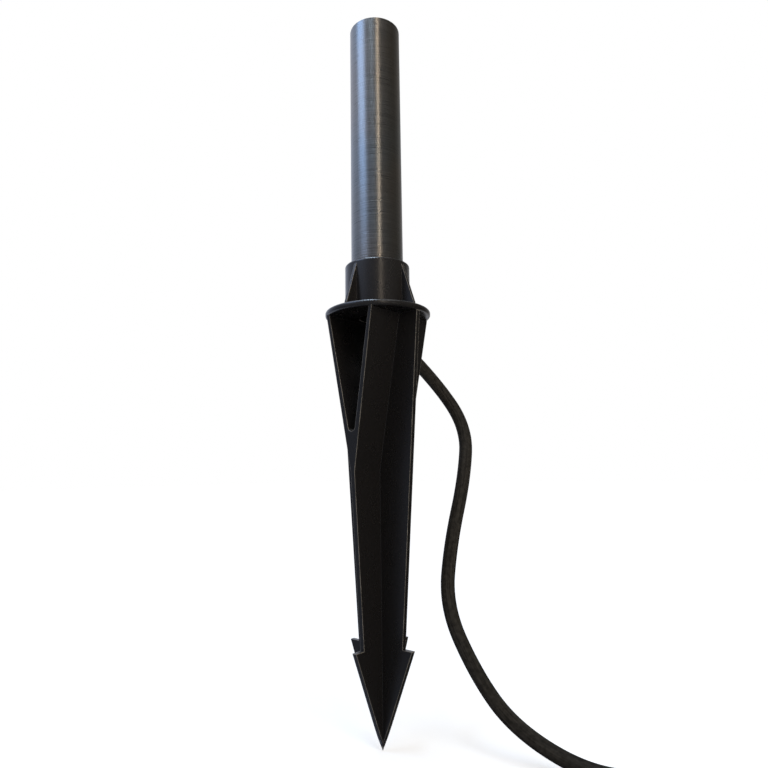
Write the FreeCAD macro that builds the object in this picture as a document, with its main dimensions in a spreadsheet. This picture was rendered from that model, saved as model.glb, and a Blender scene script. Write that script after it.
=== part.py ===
"""Lower end of a garden path light: a bronze stem in a moulded ground spike, with its supply cable.

Millimetres. +Z is up along the stem and the origin is on its axis at ground level, the underside of
the spike's flange. The cable leaves the spike toward +Y and then lies on the surface that the
spike's point touches.
"""
import FreeCAD, Part
import math
import os
import Sketcher

Vector = FreeCAD.Vector
Rotation = FreeCAD.Rotation
Placement = FreeCAD.Placement

# Driving dimensions: alias, value and what it measures
SIZES = (
    ("stem_diameter", 25.0, "outside of the stem tube"),
    ("stem_wall", 1.5, "wall of the stem tube"),
    ("stem_length", 147.0, "stem tube from its seat in the spike to its top"),
    ("swivel_clearance", 0.1, "radial clearance of the stem in its socket"),
    ("press_clearance", 0.02, "radial clearance of pieces pressed into each other"),
    ("flange_diameter", 50.0, "ground flange of the spike"),
    ("flange_thickness", 2.8, "ground flange, also the seat under the stem"),
    ("flange_round", 1.1, "rounding of the flange's rim"),
    ("collar_diameter", 31.0, "outside of the socket collar"),
    ("collar_top", 25.6, "top of the collar above ground level"),
    ("collar_round", 0.9, "rounding of the collar's top rim"),
    ("cable_hole", 18.0, "hole in the seat for the cable"),
    ("gusset_thickness", 1.4, "webs between collar and flange"),
    ("gusset_reach", 22.2, "outer foot of a web from the axis"),
    ("gusset_drop", 1.8, "top of a web below the collar's top"),
    ("gusset_toe", 1.2, "height of a web's outer foot"),
    ("spike_depth", 192.0, "point of the spike below ground level"),
    ("fin_thickness", 2.2, "spike fins"),
    ("fin_reach_top", 24.2, "plain fin at the flange, from the axis"),
    ("fin_reach_low", 12.7, "every fin above its barb, from the axis"),
    ("barb_reach", 17.8, "barb tips from the axis"),
    ("barb_depth", 148.3, "barb tops below ground level"),
    ("fork_depth", 72.0, "where the other two fins fork, below ground level"),
    ("fork_reach_low", 18.2, "forked fin at the fork, from the axis"),
    ("fork_reach_top", 20.5, "forked fin at the flange, from the axis"),
    ("fork_width", 28.0, "outside of the forked walls at the flange"),
    ("fork_wall", 1.8, "forked walls at the flange"),
    ("crotch_depth", 54.5, "floor of the channel between the walls, below ground level"),
    ("crotch_radius", 2.2, "rounding of that floor"),
    ("root_overlap", 0.8, "how far fins and webs run into what carries them"),
    ("cable_diameter", 6.3, "rubber supply cable"),
    ("bung_length", 12.0, "rubber bung that grips the cable in the stem"),
    ("bung_height", 30.0, "underside of the bung above ground level"),
    ("strip_height", 96.0, "end of the cable's sheath in the stem"),
    ("core_diameter", 2.2, "one insulated core"),
    ("core_circle", 1.35, "core centres from the axis where the sheath ends"),
    ("core_spread", 2.8, "core ends from the axis, within the bush's bore"),
    ("core_length", 20.0, "height of the bare cores above the sheath"),
    ("ferrule_diameter", 1.7, "crimped end sleeve"),
    ("ferrule_length", 8.0, "crimped end sleeve"),
    ("head_bush_length", 16.0, "threaded bush for the lamp head"),
    ("head_bush_recess", 0.5, "bush below the top of the stem"),
    ("head_thread_bore", 9.0, "core diameter of the head's thread"),
    ("head_bush_chamfer", 0.8, "lead-in of the thread"),
    ("coil_inner_radius", 25.6, "innermost turn of the put-away coil"),
    ("coil_pitch", 6.9, "from one turn or layer of the coil to the next"),
    ("coil_quarters", 20.0, "length of the coil in quarter turns"),
    ("tie_thickness", 0.9, "strap round the coil"),
    ("tie_width", 8.0, "strap round the coil"),
    ("tie_round", 3.2, "outer corners of the strap"),
    ("tie_slack", 0.5, "clearance of the strap round the turns"),
    ("sleeve_length", 24.0, "bend relief of the plug"),
    ("sleeve_tip_diameter", 9.0, "bend relief where the cable enters"),
    ("sleeve_root_diameter", 13.0, "bend relief at the plug"),
    ("plug_diameter", 37.0, "plug body"),
    ("plug_neck_diameter", 20.0, "plug body at the bend relief"),
    ("plug_length", 35.0, "plug body"),
    ("plug_round", 3.0, "rounding of the plug's front edge"),
    ("pin_diameter", 4.8, "plug pins"),
    ("pin_length", 19.0, "plug pins in front of the face"),
    ("pin_spacing", 19.0, "plug pins, centre to centre"),
    ("clip_width", 4.6, "earth clips in the plug's sides"),
    ("clip_length", 14.0, "earth clips"),
    ("clip_thickness", 1.2, "earth clips"),
)

CORE_NAMES = ("core_live", "core_neutral", "core_earth")
QUARTER_TURN = math.pi / 2
BEND_SHARE = 0.45
COIL_START_ANGLE = math.radians(90)

doc = FreeCAD.newDocument("path_light")
sheet = doc.addObject("Spreadsheet::Sheet", "Sizes")
for row, (alias, value, meaning) in enumerate(SIZES, start=1):
    sheet.set(f"A{row}", meaning)
    sheet.set(f"B{row}", str(value))
    sheet.setAlias(f"B{row}", alias)
doc.recompute()
parts = []


def size(alias):
    """One driving dimension, read from the sheet."""
    return float(sheet.get(alias))


# Sketch helpers

def new_body(label):
    """An empty body, listed as a sub-part under its label."""
    body = doc.addObject("PartDesign::Body", label)
    body.Label = label
    parts.append(body)
    return body


def origin_feature(body, role):
    """One of the body's own origin planes or axes."""
    return next(item for item in body.Origin.OriginFeatures if item.Role == role)


def new_sketch(body, name, role, height=None):
    """A sketch on an origin plane, lifted along the plane's normal by an expression if given."""
    sketch = body.newObject("Sketcher::SketchObject", name)
    sketch.AttachmentSupport = [(origin_feature(body, role), "")]
    sketch.MapMode = "FlatFace"
    if height is not None:
        sketch.setExpression("AttachmentOffset.Base.z", height)
    return sketch


def bind(sketch, kind, places, expression):
    """Add one dimension to a sketch and tie it to an expression of the sheet."""
    value = float(sketch.evalExpression(expression))
    index = sketch.addConstraint(Sketcher.Constraint(kind, *places, value))
    sketch.setExpression(f"Constraints[{index}]", expression)


def pin_point(sketch, geometry, end, x, y):
    """Hold one end point at two expressions measured from the sketch's origin."""
    for kind, axis, expression in (("DistanceX", -2, x), ("DistanceY", -1, y)):
        if expression == "0":
            sketch.addConstraint(Sketcher.Constraint("PointOnObject", geometry, end, axis))
        else:
            bind(sketch, kind, (-1, 1, geometry, end), expression)


def outline(sketch, corners):
    """A closed outline through corners (x, y), or (x, y, radius) where a square corner is rounded."""
    spots = [
        Vector(float(sketch.evalExpression(corner[0])), float(sketch.evalExpression(corner[1])), 0)
        for corner in corners
    ]
    stops = []
    for index, corner in enumerate(corners):
        if len(corner) == 2:
            stops.append(((corner[0], corner[1]), spots[index], None))
            continue
        radius = float(sketch.evalExpression(corner[2]))
        before = (spots[index - 1] - spots[index]).normalize()
        after = (spots[(index + 1) % len(spots)] - spots[index]).normalize()
        ends = []
        for way in (before, after):
            names = tuple(
                f"{corner[axis]} + ({round(way[axis])}) * {corner[2]}" if round(way[axis]) else corner[axis]
                for axis in (0, 1)
            )
            ends.append((names, spots[index] + way * radius))
        centre = spots[index] + (before + after) * radius
        middle = centre + (spots[index] - centre).normalize() * radius
        stops.append((ends[0][0], ends[0][1], (middle, corner[2])))
        stops.append((ends[1][0], ends[1][1], None))
    count = len(stops)
    first = sketch.GeometryCount
    for index, (names, spot, bend) in enumerate(stops):
        following = stops[(index + 1) % count][1]
        if bend is None:
            sketch.addGeometry(Part.LineSegment(spot, following))
        else:
            sketch.addGeometry(Part.Arc(spot, bend[0], following))
    starts = []
    for index, (names, spot, bend) in enumerate(stops):
        at_first = sketch.getPoint(first + index, 1).distanceToPoint(spot) < 1e-6
        starts.append(1 if at_first else 2)
    for index, (names, spot, bend) in enumerate(stops):
        following = (index + 1) % count
        sketch.addConstraint(Sketcher.Constraint(
            "Coincident", first + index, 3 - starts[index], first + following, starts[following]))
        pin_point(sketch, first + index, starts[index], names[0], names[1])
    for index, (names, spot, bend) in enumerate(stops):
        if bend is not None:
            bind(sketch, "Radius", (first + index,), bend[1])


def circle(sketch, radius, x="0", y="0"):
    """A circle of a given radius round a point of the sketch."""
    centre = Vector(float(sketch.evalExpression(x)), float(sketch.evalExpression(y)), 0)
    value = float(sketch.evalExpression(radius))
    index = sketch.addGeometry(Part.Circle(centre, Vector(0, 0, 1), value))
    bind(sketch, "Radius", (index,), radius)
    pin_point(sketch, index, 3, x, y)


# Feature helpers

def pad(body, sketch, length, symmetric=False):
    """Pad a sketch along its normal, or evenly to both sides."""
    feature = body.newObject("PartDesign::Pad", sketch.Name + "_pad")
    feature.Profile = sketch
    feature.SideType = "Symmetric" if symmetric else "One side"
    feature.setExpression("Length", length)
    return feature


def pocket(body, sketch, length, symmetric=False):
    """Cut a sketch against its normal, or evenly to both sides."""
    feature = body.newObject("PartDesign::Pocket", sketch.Name + "_pocket")
    feature.Profile = sketch
    feature.SideType = "Symmetric" if symmetric else "One side"
    feature.setExpression("Length", length)
    return feature


def turn(body, sketch, axis="V_Axis", kind="Revolution"):
    """Turn a half outline round one axis of its sketch, adding or cutting."""
    feature = body.newObject(f"PartDesign::{kind}", sketch.Name + "_turn")
    feature.Profile = sketch
    feature.ReferenceAxis = (sketch, [axis])
    feature.Angle = 360.0
    return feature


def polar_copies(body, feature, count):
    """Repeat a feature evenly round the body's Z axis."""
    pattern = body.newObject("PartDesign::PolarPattern", feature.Name + "_copies")
    pattern.Originals = [feature]
    pattern.Axis = (origin_feature(body, "Z_Axis"), [""])
    pattern.Angle = 360.0
    pattern.Occurrences = count
    body.Tip = pattern
    return pattern


def compound(label, pieces):
    """Equal loose pieces kept together as one sub-part."""
    group = doc.addObject("Part::Compound", label)
    group.Label = label
    group.Links = pieces
    parts.append(group)
    return group


# Tube helpers

def arc_through(start, control, end):
    """The arc that leaves start toward control and arrives at end from it."""
    middle = (start + end) * 0.5
    half_turn = (control - start).getAngle(end - control) / 2
    share = math.cos(half_turn) / (1 + math.cos(half_turn))
    return Part.Arc(start, middle + (control - middle) * share, end)


def route_edges(points):
    """Straight runs joined by tangent arcs that are as large as their runs allow, with the radii."""
    edges = []
    radii = []
    here = points[0]
    for before, corner, after in zip(points, points[1:], points[2:]):
        reach = BEND_SHARE * min((corner - before).Length, (after - corner).Length)
        bend_in = corner + (before - corner).normalize() * reach
        bend_out = corner + (after - corner).normalize() * reach
        edges.append(Part.LineSegment(here, bend_in).toShape())
        edges.append(arc_through(bend_in, corner, bend_out).toShape())
        radii.append(edges[-1].Curve.Radius)
        here = bend_out
    edges.append(Part.LineSegment(here, points[-1]).toShape())
    return edges, radii


def biarc_edges(start, start_way, end, end_way):
    """Two tangent arcs from one point and direction to another."""
    span = end - start
    ways = start_way + end_way
    square = 2 * (start_way.dot(end_way) - 1)
    linear = -2 * span.dot(ways)
    reach = (-linear - math.sqrt(linear ** 2 - 4 * square * span.dot(span))) / (2 * square)
    if reach < 0:
        reach = (-linear + math.sqrt(linear ** 2 - 4 * square * span.dot(span))) / (2 * square)
    near = start + start_way * reach
    far = end - end_way * reach
    joint = (near + far) * 0.5
    return [arc_through(start, near, joint).toShape(), arc_through(joint, far, end).toShape()]


def tube(label, edges, diameter):
    """A solid round tube along tangent edges, whose volume is compared with section times length."""
    spine = Part.Wire(edges)
    start = edges[0].valueAt(edges[0].FirstParameter)
    way = edges[0].tangentAt(edges[0].FirstParameter)
    section = Part.Wire(Part.Circle(start, way, diameter / 2).toShape())
    feature = doc.addObject("Part::Feature", label)
    feature.Label = label
    feature.Shape = spine.makePipeShell([section], True, False)
    expected = math.pi * diameter ** 2 / 4 * spine.Length
    print(f"{label}: length {spine.Length:.1f}, volume share {feature.Shape.Volume / expected:.4f}")
    parts.append(feature)
    return feature


# The ground spike, one moulding

def ground_spike():
    """Collar, flange, webs, four fins with barbs, and the forked walls that let the cable out."""
    body = new_body("ground_spike")
    half_fin = "Sizes.fin_thickness / 2"

    # The forked fin as a solid wedge that widens upward, trimmed to its sloping ends
    wedge = new_sketch(body, "wedge", "XZ_Plane")
    outline(wedge, (
        (half_fin, "-Sizes.fork_depth"),
        ("Sizes.fork_width / 2", "0"),
        ("Sizes.fork_width / 2", "Sizes.root_overlap"),
        ("-Sizes.fork_width / 2", "Sizes.root_overlap"),
        ("-Sizes.fork_width / 2", "0"),
        ("-" + half_fin, "-Sizes.fork_depth"),
    ))
    pad(body, wedge, "2 * Sizes.fork_reach_top", symmetric=True)
    ends = new_sketch(body, "wedge_ends", "YZ_Plane")
    for side in ("", "-"):
        outline(ends, (
            (side + "Sizes.fork_reach_low", "-Sizes.fork_depth"),
            (side + "Sizes.flange_diameter / 2", "-Sizes.fork_depth"),
            (side + "Sizes.flange_diameter / 2", "0"),
            (side + "Sizes.fork_reach_top", "0"),
        ))
    pocket(body, ends, "2 * Sizes.fork_width", symmetric=True)

    # Plain fins in the XZ plane, forked fins in the YZ plane, all with barbed points
    plain = new_sketch(body, "plain_fins", "XZ_Plane")
    outline(plain, fin_outline("Sizes.fin_reach_top", "0"))
    pad(body, plain, "Sizes.fin_thickness", symmetric=True)
    forked = new_sketch(body, "forked_fins", "YZ_Plane")
    outline(forked, fin_outline("Sizes.fork_reach_low", "-Sizes.fork_depth"))
    pad(body, forked, "Sizes.fin_thickness", symmetric=True)

    # The channel between the walls, open toward both ends, with a rounded floor
    channel = new_sketch(body, "channel", "XZ_Plane")
    top = "Sizes.root_overlap"
    inside = "Sizes.fork_width / 2 - Sizes.fork_wall"
    floor_centre = "Sizes.crotch_radius - Sizes.crotch_depth"
    outline(channel, (
        ("Sizes.crotch_radius", floor_centre),
        (inside, "0"),
        (inside, top),
        (f"-({inside})", top),
        (f"-({inside})", "0"),
        ("-Sizes.crotch_radius", floor_centre),
    ))
    pocket(body, channel, "4 * Sizes.fork_reach_top", symmetric=True)
    crotch = new_sketch(body, "crotch", "XZ_Plane")
    circle(crotch, "Sizes.crotch_radius", "0", floor_centre)
    pocket(body, crotch, "4 * Sizes.fork_reach_top", symmetric=True)

    # Collar, flange and the seat under the stem
    collar = new_sketch(body, "collar", "XZ_Plane")
    rim = "Sizes.flange_diameter / 2"
    wall = "Sizes.collar_diameter / 2"
    socket = "Sizes.stem_diameter / 2 + Sizes.swivel_clearance"
    outline(collar, (
        ("0", "0"),
        (rim, "0", "Sizes.flange_round"),
        (rim, "Sizes.flange_thickness", "Sizes.flange_round"),
        (wall, "Sizes.flange_thickness"),
        (wall, "Sizes.collar_top", "Sizes.collar_round"),
        (socket, "Sizes.collar_top", "Sizes.collar_round"),
        (socket, "Sizes.flange_thickness"),
        ("0", "Sizes.flange_thickness"),
    ))
    turn(body, collar)
    hole = new_sketch(body, "cable_hole", "XY_Plane", "Sizes.flange_thickness")
    circle(hole, "Sizes.cable_hole / 2")
    pocket(body, hole, "Sizes.flange_thickness")

    # Four webs that stiffen the collar
    web = new_sketch(body, "web", "XZ_Plane")
    outline(web, (
        (f"{wall} - Sizes.root_overlap", "Sizes.flange_thickness - Sizes.root_overlap"),
        ("Sizes.gusset_reach", "Sizes.flange_thickness - Sizes.root_overlap"),
        ("Sizes.gusset_reach", "Sizes.flange_thickness + Sizes.gusset_toe"),
        (wall, "Sizes.collar_top - Sizes.gusset_drop"),
        (f"{wall} - Sizes.root_overlap", "Sizes.collar_top - Sizes.gusset_drop"),
    ))
    polar_copies(body, pad(body, web, "Sizes.gusset_thickness", symmetric=True), 4)

    # The point, turned to a cone so that the four blades end sharp
    point = new_sketch(body, "point", "XZ_Plane")
    outline(point, (
        ("0", "-Sizes.spike_depth"),
        ("Sizes.barb_reach", "-Sizes.barb_depth"),
        ("2 * Sizes.barb_reach", "-Sizes.barb_depth"),
        ("2 * Sizes.barb_reach", "-Sizes.spike_depth"),
    ))
    turn(body, point, kind="Groove")
    return body


def fin_outline(reach, height):
    """Both fins of one plane: straight edges down to the barbs, then straight edges to the point."""
    right = (
        (reach, height),
        ("Sizes.fin_reach_low", "-Sizes.barb_depth"),
        ("Sizes.barb_reach", "-Sizes.barb_depth"),
    )
    left = tuple((f"-{x}", y) for x, y in reversed(right))
    return right + (("0", "-Sizes.spike_depth"),) + left


# The stem and what it holds

def stem_tube():
    """A plain tube that stands on the seat in the spike's socket."""
    body = new_body("stem_tube")
    ring = new_sketch(body, "stem_ring", "XY_Plane", "Sizes.flange_thickness")
    circle(ring, "Sizes.stem_diameter / 2")
    circle(ring, "Sizes.stem_diameter / 2 - Sizes.stem_wall")
    pad(body, ring, "Sizes.stem_length")


def head_bush():
    """A threaded bush pressed into the top of the stem, where the lamp head screws on."""
    body = new_body("head_bush")
    profile = new_sketch(body, "bush_profile", "XZ_Plane")
    outside = "Sizes.stem_diameter / 2 - Sizes.stem_wall - Sizes.press_clearance"
    bore = "Sizes.head_thread_bore / 2"
    top = "Sizes.flange_thickness + Sizes.stem_length - Sizes.head_bush_recess"
    bottom = f"{top} - Sizes.head_bush_length"
    outline(profile, (
        (bore, f"{bottom} + Sizes.head_bush_chamfer"),
        (f"{bore} + Sizes.head_bush_chamfer", bottom),
        (f"{outside} - Sizes.head_bush_chamfer", bottom),
        (outside, f"{bottom} + Sizes.head_bush_chamfer"),
        (outside, top),
        (f"{bore} + Sizes.head_bush_chamfer", top),
        (bore, f"{top} - Sizes.head_bush_chamfer"),
    ))
    turn(body, profile)


def foot_bung():
    """A rubber bung in the foot of the stem that grips the cable."""
    body = new_body("foot_bung")
    ring = new_sketch(body, "bung_ring", "XY_Plane", "Sizes.bung_height")
    circle(ring, "Sizes.stem_diameter / 2 - Sizes.stem_wall - Sizes.press_clearance")
    circle(ring, "Sizes.cable_diameter / 2 + Sizes.press_clearance")
    pad(body, ring, "Sizes.bung_length")


def stem_cable():
    """The sheathed cable from the bung up to where its sheath ends."""
    body = new_body("stem_cable")
    section = new_sketch(body, "sheath", "XY_Plane", "Sizes.bung_height")
    circle(section, "Sizes.cable_diameter / 2")
    pad(body, section, "Sizes.strip_height - Sizes.bung_height")


def cores():
    """Three cores that spread out of the sheath, each with a crimped end sleeve."""
    low = size("strip_height")
    rise = size("core_length")
    sleeves = []
    for index, label in enumerate(CORE_NAMES):
        bearing = 2 * math.pi * index / len(CORE_NAMES)
        outward = Vector(math.cos(bearing), math.sin(bearing), 0)
        inner = outward * size("core_circle")
        outer = outward * size("core_spread")
        points = [
            inner + Vector(0, 0, low),
            inner + Vector(0, 0, low + rise / 3),
            outer + Vector(0, 0, low + rise * 2 / 3),
            outer + Vector(0, 0, low + rise),
        ]
        edges, radii = route_edges(points)
        tube(label, edges, size("core_diameter"))
        sleeve = doc.addObject("Part::Cylinder", label + "_sleeve")
        sleeve.setExpression("Radius", "Sizes.ferrule_diameter / 2")
        sleeve.setExpression("Height", "Sizes.ferrule_length")
        sleeve.Placement.Base = points[-1]
        sleeves.append(sleeve)
    compound("core_ferrules", sleeves)


# The free cable, its coil and its plug

def lead_cable():
    """The free cable out of the spike's window and down to the surface, by points chosen by hand."""
    resting = size("cable_diameter") / 2 - size("spike_depth")
    raised = resting + size("tie_thickness") + size("tie_slack")
    points = [
        Vector(0, 0, size("bung_height")),
        Vector(0, 0, -2),
        Vector(5, 38, -26),
        Vector(20, 44, -51),
        Vector(24, 34, -76),
        Vector(22, 24, -105),
        Vector(23, 17, -132),
        Vector(37, 18, -158),
        Vector(51, 23, -177),
        Vector(77, 29, resting),
        Vector(100, 36, resting),
        Vector(122, 40, raised),
        Vector(139.5, 40, raised),
    ]
    edges, radii = route_edges(points)
    print("lead radii", [round(radius, 1) for radius in radii])
    tube("lead_cable", edges, size("cable_diameter"))
    return points[-1], (points[-1] - points[-2]).normalize()


def coil_middle():
    """The angle wound when the spiral turns outward again."""
    return int(size("coil_quarters")) * QUARTER_TURN / 2


def coil_point(turned, centre):
    """A point of the coil and its direction, from the angle wound so far.

    The radius shrinks by one pitch a turn to the middle of the winding and grows again after it,
    and the second layer is reached in the half turn round that middle.
    """
    middle = coil_middle()
    growth = size("coil_pitch") / (2 * math.pi)
    radius = size("coil_inner_radius") + growth * abs(turned - middle)
    climb = min(max((turned - middle) / math.pi + 0.5, 0), 1)
    height = size("coil_pitch") * climb ** 2 * (3 - 2 * climb)
    bearing = COIL_START_ANGLE - turned
    outward = Vector(math.cos(bearing), math.sin(bearing), 0)
    along = Vector(math.sin(bearing), -math.cos(bearing), 0)
    swell = growth * ((turned > middle) - (turned < middle))
    lift = size("coil_pitch") * 6 * climb * (1 - climb) / math.pi
    way = along * radius + outward * swell + Vector(0, 0, lift)
    return centre + outward * radius + Vector(0, 0, height), way.normalize()


def cable_coil(start, way):
    """The put-away length: one unbroken tube wound inward on the surface and outward on top."""
    steps = int(size("coil_quarters"))
    entry = start + way * size("cable_diameter")
    centre = entry - coil_point(0, Vector(0, 0, 0))[0]
    knots = [(entry, way)]
    knots += [coil_point(step * QUARTER_TURN, centre) for step in range(1, steps + 1)]
    end = knots[-1][0] + knots[-1][1] * size("cable_diameter")
    edges = [Part.LineSegment(start, entry).toShape()]
    for (spot, heading), (next_spot, next_heading) in zip(knots, knots[1:]):
        edges += biarc_edges(spot, heading, next_spot, next_heading)
    edges.append(Part.LineSegment(knots[-1][0], end).toShape())
    tube("cable_coil", edges, size("cable_diameter"))
    print(f"coil least gap to itself {coil_gap(edges):.2f}")
    return centre, end, knots[-1][1]


def coil_gap(edges):
    """Least clear distance between turns, on points along the wound path."""
    samples = [point for edge in edges for point in edge.discretize(9)[:-1]]
    apart = int(len(samples) / size("coil_quarters") * 2)
    least = min(
        samples[one].distanceToPoint(other)
        for one in range(len(samples))
        for other in samples[one + apart:]
    )
    return least - size("cable_diameter")


def coil_tie(centre):
    """A strap round all turns, where the spiral turns outward and both layers lie in line."""
    body = new_body("coil_tie")
    strap = new_sketch(body, "strap", "XZ_Plane")
    inner_edge = "Sizes.coil_inner_radius - Sizes.cable_diameter / 2"
    outer_edge = (
        "Sizes.coil_inner_radius + Sizes.coil_pitch * floor(floor(Sizes.coil_quarters) / 8)"
        " + Sizes.cable_diameter / 2"
    )
    low = "-Sizes.cable_diameter / 2"
    high = "Sizes.coil_pitch + Sizes.cable_diameter / 2"
    for margin, bend in (
        ("Sizes.tie_slack + Sizes.tie_thickness", "Sizes.tie_round"),
        ("Sizes.tie_slack", "(Sizes.tie_round - Sizes.tie_thickness)"),
    ):
        left = f"{inner_edge} - ({margin})"
        right = f"{outer_edge} + {margin}"
        bottom = f"{low} - ({margin})"
        top = f"{high} + {margin}"
        outline(strap, (
            (left, bottom, bend), (right, bottom, bend), (right, top, bend), (left, top, bend)))
    pad(body, strap, "Sizes.tie_width", symmetric=True)
    bearing = math.degrees(COIL_START_ANGLE - coil_middle())
    body.Placement = Placement(centre, Rotation(Vector(0, 0, 1), bearing))


def tail_cable(start, way):
    """The short end that runs round the coil's outside, by points chosen by hand.

    A point is placed ahead of the coil's end, to the side of it and by its share of the climb from
    the coil's second layer to the axis of the plug that lies on the surface.
    """
    aside = Vector(way.y, -way.x, 0)
    climb = Vector(0, 0, size("plug_diameter") / 2 - size("spike_depth") - start.z)
    points = [
        start,
        start + way * 10.5,
        start + way * 20.7 + aside * 2.4 + climb * 0.28,
        start + way * 29.9 + aside * 7.5 + climb * 0.72,
        start + way * 37.2 + aside * 15.1 + climb,
        start + way * 42.4 + aside * 24.2 + climb,
    ]
    edges, radii = route_edges(points)
    print("tail radii", [round(radius, 1) for radius in radii])
    tube("tail_cable", edges, size("cable_diameter"))
    return points[-1], (points[-1] - points[-2]).normalize()


def plug(start, way):
    """A round earthed plug on its side with its pins above each other, made along +X and then placed."""
    upright = Rotation(Vector(1, 0, 0), 90)
    place = Placement(start, Rotation(Vector(1, 0, 0), way) * upright)
    plug_sleeve().Placement = place
    plug_body().Placement = place
    plug_pins(place)
    plug_earth_clips(place)


def plug_sleeve():
    """A tapered bend relief round the cable's end."""
    body = new_body("plug_sleeve")
    profile = new_sketch(body, "sleeve_profile", "XZ_Plane")
    outline(profile, (
        ("0", "0"),
        ("0", "Sizes.sleeve_tip_diameter / 2"),
        ("Sizes.sleeve_length", "Sizes.sleeve_root_diameter / 2"),
        ("Sizes.sleeve_length", "0"),
    ))
    turn(body, profile, axis="H_Axis")
    return body


def plug_body():
    """The moulded plug, with a side groove for each earth clip."""
    body = new_body("plug_body")
    profile = new_sketch(body, "plug_profile", "XZ_Plane")
    rear = "Sizes.sleeve_length"
    front = "Sizes.sleeve_length + Sizes.plug_length"
    outline(profile, (
        (rear, "0"),
        (rear, "Sizes.plug_neck_diameter / 2"),
        (f"{rear} + Sizes.plug_length / 3", "Sizes.plug_diameter / 2"),
        (front, "Sizes.plug_diameter / 2", "Sizes.plug_round"),
        (front, "0"),
    ))
    turn(body, profile, axis="H_Axis")
    grooves = new_sketch(body, "clip_grooves", "XZ_Plane")
    depth = "Sizes.plug_diameter / 2 - Sizes.clip_thickness"
    for side in ("", "-"):
        outline(grooves, (
            (f"{front} - Sizes.clip_length", f"{side}({depth})"),
            (f"{front} + Sizes.plug_round", f"{side}({depth})"),
            (f"{front} + Sizes.plug_round", f"{side}Sizes.plug_diameter"),
            (f"{front} - Sizes.clip_length", f"{side}Sizes.plug_diameter"),
        ))
    pocket(body, grooves, "Sizes.clip_width", symmetric=True)
    return body


def plug_pins(place):
    """Two round pins that stand on the plug's face."""
    pins = []
    for side in (-1, 1):
        pin = doc.addObject("Part::Cylinder", "pin")
        pin.setExpression("Radius", "Sizes.pin_diameter / 2")
        pin.setExpression("Height", "Sizes.pin_length")
        foot = Vector(size("sleeve_length") + size("plug_length"), side * size("pin_spacing") / 2, 0)
        pin.Placement = place * Placement(foot, Rotation(Vector(0, 0, 1), Vector(1, 0, 0)))
        pins.append(pin)
    compound("plug_pins", pins)


def plug_earth_clips(place):
    """Two metal clips that lie in the plug's side grooves."""
    clips = []
    for side in (-1, 1):
        clip = doc.addObject("Part::Box", "clip")
        clip.setExpression("Length", "Sizes.clip_length - Sizes.plug_round")
        clip.setExpression("Width", "Sizes.clip_width - 2 * Sizes.press_clearance")
        clip.setExpression("Height", "Sizes.clip_thickness * 3 / 4")
        depth = size("plug_diameter") / 2 - size("clip_thickness")
        low = depth if side > 0 else -depth - size("clip_thickness") * 3 / 4
        rear = size("sleeve_length") + size("plug_length") - size("clip_length")
        half = size("clip_width") / 2 - size("press_clearance")
        clip.Placement = place * Placement(Vector(rear, -half, low), Rotation())
        clips.append(clip)
    compound("plug_earth_clips", clips)


# Build, check and write

ground_spike()
stem_tube()
head_bush()
foot_bung()
stem_cable()
cores()
lead_end, lead_way = lead_cable()
coil_centre, coil_end, coil_way = cable_coil(lead_end, lead_way)
coil_tie(coil_centre)
tail_end, tail_way = tail_cable(coil_end, coil_way)
plug(tail_end, tail_way)
doc.recompute()

for item in doc.Objects:
    if "Invalid" in item.State or "Error" in item.State:
        raise RuntimeError(f"{item.Label} did not build: {item.State}")
for part in parts:
    if part.Shape.isNull() or not part.Shape.isValid():
        raise RuntimeError(f"{part.Label} has no valid shape")
os.makedirs("parts", exist_ok=True)
for part in parts:
    part.Shape.exportStep(f"parts/{part.Label}.step")
    print(f"{part.Label}: {len(part.Shape.Solids)} solid(s), {part.Shape.Volume:.0f} mm3")
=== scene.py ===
# %% [markdown]
# # A garden light's stem in its ground spike
#
# The object is the lower end of a path light: a brushed bronze tube that turns in a moulded black
# spike, with a rubber supply cable that comes out under the spike's flange. The construction is
# already there as exact solids, so this lesson only dresses it: it adds what is soft or too fine for
# solids, gives every surface a finish, and sets up a small studio with the photograph's view.

# %% Load the solids
import math

import bpy
import numpy as np
from mathutils import Matrix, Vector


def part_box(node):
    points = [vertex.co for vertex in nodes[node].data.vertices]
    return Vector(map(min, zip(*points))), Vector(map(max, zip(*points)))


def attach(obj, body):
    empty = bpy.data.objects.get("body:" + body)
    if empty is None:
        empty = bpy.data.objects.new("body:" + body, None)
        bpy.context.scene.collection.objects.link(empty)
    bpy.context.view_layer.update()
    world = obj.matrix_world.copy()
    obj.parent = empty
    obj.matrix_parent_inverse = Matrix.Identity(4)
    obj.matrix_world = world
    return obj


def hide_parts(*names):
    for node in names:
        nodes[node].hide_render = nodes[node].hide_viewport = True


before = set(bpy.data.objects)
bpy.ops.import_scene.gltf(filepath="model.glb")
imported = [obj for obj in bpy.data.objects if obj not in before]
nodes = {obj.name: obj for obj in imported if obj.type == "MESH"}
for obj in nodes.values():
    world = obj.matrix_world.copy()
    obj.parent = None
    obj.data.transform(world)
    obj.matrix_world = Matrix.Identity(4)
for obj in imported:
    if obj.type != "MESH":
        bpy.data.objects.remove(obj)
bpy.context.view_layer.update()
MM = 0.001
floor_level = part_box("ground_spike")[0].z
print("nodes:", len(nodes), "floor at", round(floor_level, 4))

# %% [markdown]
# ## The camera
#
# A photograph fixes a camera by where known edges land in it. Here the flange's ellipse, the fins and
# the point of the spike give its place, its turn and its lens. A camera set by eye could look right
# too, but an error in its lens would then hide in the object's proportions. The camera stands low and
# close and looks slightly up, which is why the flange shows its underside and the stem seems to taper.

# %% Camera
CAMERA_PLACE = (0.18468, -0.21469, -0.07297)
CAMERA_TURN = math.radians(40.19)
CAMERA_TILT = math.radians(98.33)
CAMERA_ROLL = math.radians(-0.745)
LENS = 28.48
NEAREST_SEEN = 10 * MM

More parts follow.
